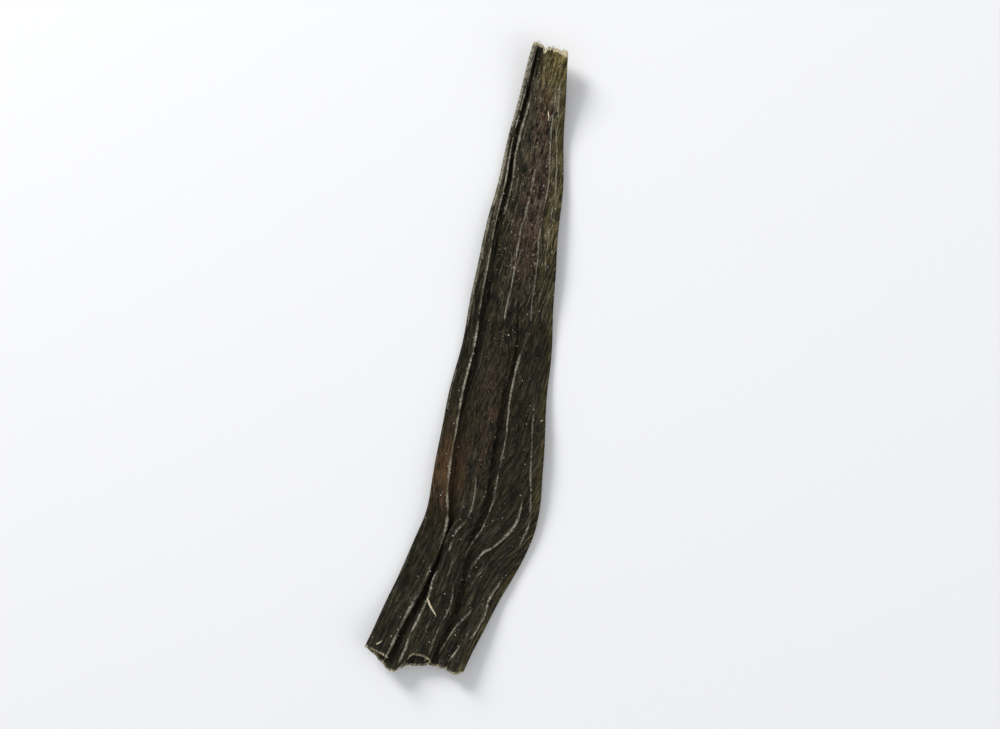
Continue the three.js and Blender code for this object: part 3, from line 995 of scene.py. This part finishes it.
class Growth(Tree):
    """A Geometry Nodes tree with named inputs that puts small shapes on points."""

    def __init__(self, name):
        self.tree = bpy.data.node_groups.new(name, "GeometryNodeTree")
        self.tree.is_modifier = True
        for in_out in ("INPUT", "OUTPUT"):
            self.tree.interface.new_socket("Geometry", in_out=in_out, socket_type="NodeSocketGeometry")
        self.source = self.add("NodeGroupInput")
        self.sizes = {}

    def size(self, name, value, kind="NodeSocketFloat"):
        socket = self.tree.interface.new_socket(name, in_out="INPUT", socket_type=kind)
        self.sizes[socket.identifier] = value
        return Value(self, self.source.outputs[name])

    def named(self, name, data_type="FLOAT"):
        return self.value("GeometryNodeInputNamedAttribute", {"Name": name}, data_type=data_type)

    def random(self, low, high, seed, data_type="FLOAT"):
        first = {"FLOAT_VECTOR": 0, "FLOAT": 2}[data_type]
        inputs = {"Seed": seed, first: low, first + 1: high}
        return self.value("FunctionNodeRandomValue", inputs, first // 2, data_type=data_type)

    def scatter(self, points, shape, turn, scale, material, **chosen):
        """Ends the tree: a real copy of the shape, with its material, on every chosen point."""
        inputs = {"Points": points, "Instance": shape, "Rotation": turn, "Scale": scale, **chosen}
        copies = self.value("GeometryNodeInstanceOnPoints", inputs)
        real = self.value("GeometryNodeRealizeInstances", {0: copies})
        flat = self.value("GeometryNodeSetShadeSmooth", {"Geometry": real, "Shade Smooth": False})
        painted = self.value("GeometryNodeSetMaterial", {"Geometry": flat, "Material": material})
        self.add("NodeGroupOutput", {0: painted})

    def grow(self, name, mesh):
        """Runs the tree on a mesh, and keeps the result as a plain mesh."""
        piece = show(mesh, name)
        modifier = piece.modifiers.new(name, "NODES")
        modifier.node_group = self.tree
        for identifier, value in self.sizes.items():
            modifier[identifier] = value
        evaluated = piece.evaluated_get(bpy.context.evaluated_depsgraph_get())
        grown = bpy.data.meshes.new_from_object(evaluated)
        piece.modifiers.clear()
        piece.data = grown
        return piece


def salt_tree(settings, material):
    """Crystals scattered over the faces that look up, where the grain mask says."""
    nodes = Growth("scatter_salt")
    density = nodes.size("Density", settings.grain_density)
    smallest = nodes.size("Smallest", settings.grain_smallest)
    largest = nodes.size("Largest", settings.grain_largest)
    seed = nodes.size("Seed", settings.seed, "NodeSocketInt")
    upward = nodes.value("ShaderNodeSeparateXYZ", {0: nodes.value("GeometryNodeInputNormal")}, 2)
    amount = nodes.named("grain") * density * nodes.math("GREATER_THAN", upward, 0.25)
    places = {"Mesh": nodes.source.outputs[0], "Density": amount, "Seed": seed}
    scattered = nodes.value("GeometryNodeDistributePointsOnFaces", places)
    crystal = nodes.value("GeometryNodeMeshIcoSphere", {"Radius": 1.0, "Subdivisions": 1})
    turn = nodes.random((0, 0, 0), (6.3, 6.3, 6.3), 1, "FLOAT_VECTOR")
    radius = nodes.math("POWER", nodes.random(0.0, 1.0, 2), 2.5) * (largest - smallest) + smallest
    shape = nodes.random((0.5, 0.6, 0.45), (1.3, 1.0, 0.9), 3, "FLOAT_VECTOR")
    scale = nodes.value("ShaderNodeVectorMath", {0: shape, "Scale": radius}, operation="SCALE")
    nodes.scatter(scattered, crystal, turn, scale, material)
    return nodes


def fibre_tree(settings, material):
    """Tapered fibres that stand out from the points of a cut."""
    nodes = Growth("fray_cuts")
    shortest = nodes.size("Shortest", settings.fibre_shortest)
    longest = nodes.size("Longest", settings.fibre_longest)
    radius = nodes.size("Radius", settings.fibre_radius)
    seed = nodes.size("Seed", settings.seed, "NodeSocketInt")
    form = {"Vertices": 5, "Side Segments": 3, "Radius Top": 0.15, "Radius Bottom": 1.0, "Depth": 1.0}
    cone = nodes.value("GeometryNodeMeshCone", form)
    stray = nodes.random((-0.7, -0.7, -0.5), (0.7, 0.7, 0.5), 4, "FLOAT_VECTOR")
    way = nodes.value("ShaderNodeVectorMath", {0: nodes.named("outward", "FLOAT_VECTOR"), 1: stray})
    turn = nodes.value("FunctionNodeAlignRotationToVector", {"Vector": way}, axis="Z")
    length = nodes.math("POWER", nodes.random(0.0, 1.0, 5), 3.0) * (longest - shortest) + shortest
    scale = nodes.value("ShaderNodeCombineXYZ", {0: radius, 1: radius, 2: length})
    kept = nodes.math("GREATER_THAN", nodes.random(0.0, 1.0, seed), 0.3)
    nodes.scatter(nodes.source.outputs[0], cone, turn, scale, material, Selection=kept)
    return nodes


# ---------------------------------------------------------------- shreds

# Loose shreds that lie on the blade: the panel's control points, the way as for a crease, the half
# width and the lift of the middle, in millimetres
SHREDS = (
    ((8, 12), ((22.9, -5.2), (22.2, -4.9), (21.0, -3.3), (20.2, -2.0), (19.5, -0.6)), 0.36, 0.45),
    ((0, 3), ((4.6, -12.6), (5.4, -12.2), (6.2, -11.4)), 0.22, 0.12),
    ((12, 27), ((170.4, 2.2), (169.3, 2.5), (168.0, 2.45)), 0.2, 0.1),
)
SHRED_STEPS = 14
SHRED_THICKNESS = 0.1
SHRED_GAP = 0.12  # between a shred's ends and the blade
SHRED_TWIST = 0.5
SHRED_RIDGE = 1.6  # height of its middle, over that of its sides


def shred(sheet, panel, way, half_width, lift):
    """One shred: a thin pointed ribbon that follows its way over the panel."""
    way = np.array(way)
    share = np.linspace(0, 1, SHRED_STEPS)
    steps = np.linspace(0, 1, len(way))
    line = np.stack([np.interp(share, steps, way[:, k]) for k in (0, 1)], axis=1)
    line[1:-1] = (line[:-2] + 2 * line[1:-1] + line[2:]) / 4
    middle = np.array([sheet.top[sheet.spot(v, x, panel)] for v, x in line]) / MM
    for _ in range(3):
        middle[1:-1] = (middle[:-2] + 2 * middle[1:-1] + middle[2:]) / 4
    arch = np.sin(np.pi * share)
    middle[:, 2] += SHRED_THICKNESS + SHRED_GAP + lift * (0.35 * share + 0.65 * arch)
    forward = np.gradient(middle, axis=0)
    forward /= np.linalg.norm(forward, axis=1, keepdims=True)
    twist = SHRED_TWIST * np.sin(3 * share + half_width * 9)[:, None]
    side = np.cross([0, 0, 1], forward) + twist * [0, 0, 1]
    side /= np.linalg.norm(side, axis=1, keepdims=True)
    over = np.cross(forward, side)
    taper = (half_width * np.clip(arch, 0.12, 1) ** 0.6 * (1 - 0.3 * share))[:, None]
    thick = SHRED_THICKNESS / 2
    corners = [
        middle - taper * side - thick * over,
        middle + taper * side - thick * over,
        middle + taper * side + thick * over,
        middle + thick * SHRED_RIDGE * over,
        middle - taper * side + thick * over,
    ]
    return np.stack(corners, axis=1) * MM


def tube_polygons(rows, size, first):
    """Quads of a closed tube of rings, and the polygons that close its ends."""
    row = first + np.arange(rows - 1)[:, None] * size
    place = np.arange(size)[None, :]
    after = (place + 1) % size
    walls = np.stack([row + place, row + after, row + size + after, row + size + place], axis=-1)
    near = first + np.arange(size)[::-1]
    far = first + (rows - 1) * size + np.arange(size)
    return walls.reshape(-1, 4), np.stack([near, far])


def colour(name, description, value):
    """A colour that a user may change."""
    return bpy.props.FloatVectorProperty(
        name=name, description=description, subtype="COLOR", size=4, min=0, max=1, default=(*value, 1)
    )


def number(name, description, value, **limits):
    """A number that a user may change."""
    return bpy.props.FloatProperty(name=name, description=description, default=value, **limits)


def count(name, description, value, least=40):
    """A whole number that a user may change."""
    return bpy.props.IntProperty(name=name, description=description, default=value, min=least)


def distance(name, description, value):
    """A distance that a user may change, in metres."""
    return number(name, description, value, min=0, unit="LENGTH", subtype="DISTANCE", precision=5)


class FrondShape(bpy.types.PropertyGroup):
    thickness: distance("Thickness", "Thickness of the dried blade", 0.42 * MM)
    layer_pitch: distance("Layer pitch", "Distance between the middles of two touching layers", 1.0 * MM)
    edge_curl: distance("Edge curl", "Lift of the folded margin's free edge", 0.4 * MM)
    wrinkle_height: distance("Wrinkle height", "Height of the blade's wrinkles", 0.42 * MM)
    cut_bevel: distance("Cut bevel", "Slant of the cut faces", 0.4 * MM)
    rows: count("Rows", "Rows of faces along the blade", 330)
    columns: count("Columns", "Columns of faces across it", 208)


class KelpFinish(bpy.types.PropertyGroup):
    dark: colour("Dark ground", "Darkest green of the blade", (0.0045, 0.005, 0.0026))
    brown: colour("Brown ground", "Brown patches of the blade", (0.0095, 0.0068, 0.0036))
    olive: colour("Olive", "Olive mottling", (0.022, 0.0192, 0.0075))
    russet: colour("Russet", "Reddish brown specks", (0.047, 0.021, 0.013))
    blush: colour("Blush", "Pinkish fibres among the russet", (0.17, 0.105, 0.08))
    amber: colour("Amber", "Orange brown patch of the folded margin", (0.1, 0.05, 0.022))
    gold: colour("Gold", "Golden stem end and margins", (0.125, 0.098, 0.032))
    straw: colour("Straw", "Bright fibres in the golden parts", (0.3, 0.245, 0.1))
    fibre: colour("Fibres", "Pale fibres and wrinkle crests", (0.15, 0.127, 0.083))
    fold: colour("Folds", "Worn fold lines and free edges", (0.38, 0.345, 0.265))
    # Painted shade: the darkest colour, put in the floors of the wrinkles and on the layers under the folds.
    painted_shade: colour("Painted shade", "Hidden layers and the floors of wrinkles", (0.006, 0.0055, 0.003))
    cut: colour("Cut edge", "Pale tissue in the cuts", (0.66, 0.56, 0.34))
    salt: colour("Salt", "Dried salt bloom", (0.62, 0.6, 0.55))


class LooseBits(bpy.types.PropertyGroup):
    grain_density: number("Grain density", "Salt grains on a square metre, at most", 1.7e6, min=0)
    grain_smallest: distance("Smallest grain", "Radius of the smallest salt grain", 0.07 * MM)
    grain_largest: distance("Largest grain", "Radius of the largest salt grain", 0.26 * MM)
    fibre_shortest: distance("Shortest fibre", "Length of the shortest torn fibre", 0.3 * MM)
    fibre_longest: distance("Longest fibre", "Length of the longest torn fibre", 1.8 * MM)
    fibre_radius: distance("Fibre radius", "Radius of a torn fibre at its root", 0.07 * MM)
    seed: count("Seed", "Seed of the scattered grains and fibres", 7, 0)


class StageLayout(bpy.types.PropertyGroup):
    floor_colour: colour("Floor", "Colour of the floor", (0.88, 0.88, 0.89))
    floor_size: distance("Floor size", "Width of the floor", 8.0)
    lens: number("Lens", "Focal length in millimetres", 100, min=10)
    fill: number("Fill", "Share of the picture's height it fills", 0.86, min=0.1, max=1, subtype="FACTOR")
    lean: number("Lean", "Turn of the frond in the picture", math.radians(12.5), subtype="ANGLE")
    key_power: number("Key light", "Power of the main light", 27.0, min=0, unit="POWER")
    fill_power: number("Fill light", "Power of the fill light", 3.0, min=0, unit="POWER")
    world_strength: number("World", "Strength of the even light", 0.5, min=0)


# Lights: place in metres and width
KEY_LIGHT = ((-1.12, 0.96, 0.8), 0.62)
FILL_LIGHT = ((0.9, -0.3, 0.6), 1.0)
SKY_COLOUR = (0.97, 0.985, 1.0, 1)
PICTURE_SHAPE = 1000 / 729  # width over height


def add_light(name, target, power, location, size):
    """Square soft light that faces the target."""
    light = bpy.data.lights.new(name, "AREA")
    light.size = size
    light.energy = power
    lamp = bpy.data.objects.new(name, light)
    lamp.location = location
    lamp.rotation_euler = (Vector(target) - Vector(location)).to_track_quat("-Z", "Y").to_euler()
    bpy.context.scene.collection.objects.link(lamp)


class KELP_OT_stage(bpy.types.Operator):
    """Add the floor, the soft lights and the camera above the frond"""

    bl_idname = "kelp.stage"
    bl_label = "Stage"

    def execute(self, context):
        scene = context.scene
        layout = scene.kelp_stage
        side = layout.floor_size / 2
        corners = np.array([(-side, -side, 0), (side, -side, 0), (side, side, 0), (-side, side, 0)])
        floor = show(make_mesh("floor", corners, [np.array([[0, 1, 2, 3]])]), "floor")
        surface = Finish("floor_paper")
        surface.coat(layout.floor_colour, 0.6, 0.2)
        floor.data.materials.append(surface.material)
        self.light(scene, layout)
        self.aim(scene, layout)
        return {"FINISHED"}

    def light(self, scene, layout):
        low, high = CAD_BOX
        middle = [(a + b) / 2 for a, b in zip(low, high)]
        add_light("key_light", middle, layout.key_power, *KEY_LIGHT)
        add_light("fill_light", middle, layout.fill_power, *FILL_LIGHT)
        world = bpy.data.worlds.new("studio")
        world.use_nodes = True
        sky = world.node_tree.nodes["Background"]
        sky.inputs[0].default_value = SKY_COLOUR
        sky.inputs[1].default_value = layout.world_strength
        scene.world = world
        scene.view_settings.view_transform = "Standard"

    def aim(self, scene, layout):
        low, high = CAD_BOX
        length = high[1] - low[1]
        camera = bpy.data.cameras.new("camera")
        camera.lens = layout.lens
        seen = length * math.cos(layout.lean) / layout.fill
        distance_up = seen * PICTURE_SHAPE * layout.lens / camera.sensor_width
        holder = bpy.data.objects.new("camera", camera)
        holder.location = ((low[0] + high[0]) / 2, (low[1] + high[1]) / 2, distance_up + high[2] / 2)
        holder.rotation_euler = (0, 0, layout.lean)
        scene.collection.objects.link(holder)
        scene.camera = holder


class KELP_OT_blade(bpy.types.Operator):
    """Build the folded, wrinkled blade and its finish"""

    bl_idname = "kelp.blade"
    bl_label = "Blade"

    def execute(self, context):
        scene = context.scene
        sheet, ring, points, polygons = build_blade(scene.kelp_shape)
        mesh = make_mesh("frond_blade", points, polygons)
        add_unfolded_map(mesh, ring.values(sheet.unfolded), ring.values(sheet.v))
        for name in MASKS:
            add_mask(mesh, name, ring.values(getattr(sheet, name)))
        mesh.set_sharp_from_angle(angle=SHARP_EDGE)
        mesh.materials.append(kelp_material(scene.kelp_finish))
        blade = show(mesh, "frond_blade")
        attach(blade, "root")
        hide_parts(NODE)
        return {"FINISHED"}


class KELP_OT_salt(bpy.types.Operator):
    """Scatter dried salt grains along the folds and creases"""

    bl_idname = "kelp.salt"
    bl_label = "Salt grains"

    def execute(self, context):
        scene = context.scene
        blade = bpy.data.objects["frond_blade"]
        tree = salt_tree(scene.kelp_bits, salt_material(scene.kelp_finish))
        grains = tree.grow("salt_grains", blade.data.copy())
        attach(grains, "root")
        return {"FINISHED"}


class KELP_OT_fibres(bpy.types.Operator):
    """Fray the two cuts with torn fibres"""

    bl_idname = "kelp.fibres"
    bl_label = "Torn fibres"

    def execute(self, context):
        scene = context.scene
        finish = scene.kelp_finish
        sheet = build_blade(scene.kelp_shape)[0]
        points = np.concatenate([sheet.core[0], sheet.core[-1]])
        outward = np.concatenate([-sheet.along[0], sheet.along[-1]])
        roots = bpy.data.meshes.new("fibre_roots")
        roots.vertices.add(len(points))
        roots.vertices.foreach_set("co", points.astype(np.float32).ravel())
        layer = roots.attributes.new("outward", "FLOAT_VECTOR", "POINT")
        layer.data.foreach_set("vector", outward.astype(np.float32).ravel())
        tree = fibre_tree(scene.kelp_bits, tissue_material("torn_tissue", finish.cut, finish.fibre))
        fibres = tree.grow("torn_fibres", roots)
        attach(fibres, "root")
        return {"FINISHED"}


class KELP_OT_shreds(bpy.types.Operator):
    """Lay loose shreds of pale tissue on the blade"""

    bl_idname = "kelp.shreds"
    bl_label = "Loose shreds"

    def execute(self, context):
        scene = context.scene
        finish = scene.kelp_finish
        sheet = build_blade(scene.kelp_shape)[0]
        points = []
        polygons = []
        for form in SHREDS:
            rings = shred(sheet, *form)
            polygons += tube_polygons(*rings.shape[:2], sum(len(each) for each in points))
            points.append(rings.reshape(-1, 3))
        mesh = make_mesh("loose_shreds", np.concatenate(points), polygons)
        mesh.set_sharp_from_angle(angle=SHRED_SHARP_EDGE)
        mesh.materials.append(tissue_material("loose_tissue", finish.cut, finish.fold))
        shreds = show(mesh, "loose_shreds")
        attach(shreds, "root")
        return {"FINISHED"}


class KELP_PT_panel(bpy.types.Panel):
    """Lists the frond's pieces"""

    bl_label = "Kelp frond"
    bl_idname = "KELP_PT_panel"
    bl_space_type = "VIEW_3D"
    bl_region_type = "UI"
    bl_category = "Kelp"

    def draw(self, context):
        for piece in OPERATORS:
            self.layout.operator(piece.bl_idname)


SETTINGS = {"kelp_shape": FrondShape, "kelp_finish": KelpFinish, "kelp_bits": LooseBits,
            "kelp_stage": StageLayout}
OPERATORS = (KELP_OT_stage, KELP_OT_blade, KELP_OT_salt, KELP_OT_fibres, KELP_OT_shreds)
CLASSES = (*SETTINGS.values(), *OPERATORS, KELP_PT_panel)


def register():
    for each in CLASSES:
        bpy.utils.register_class(each)
    for name, group in SETTINGS.items():
        setattr(bpy.types.Scene, name, bpy.props.PointerProperty(type=group))


def unregister():
    for name in SETTINGS:
        delattr(bpy.types.Scene, name)
    for each in reversed(CLASSES):
        bpy.utils.unregister_class(each)


def main():
    register()
    bpy.ops.kelp.stage()
    bpy.ops.kelp.blade()
    bpy.ops.kelp.salt()
    bpy.ops.kelp.fibres()
    bpy.ops.kelp.shreds()


if __name__ == "__main__":
    main()
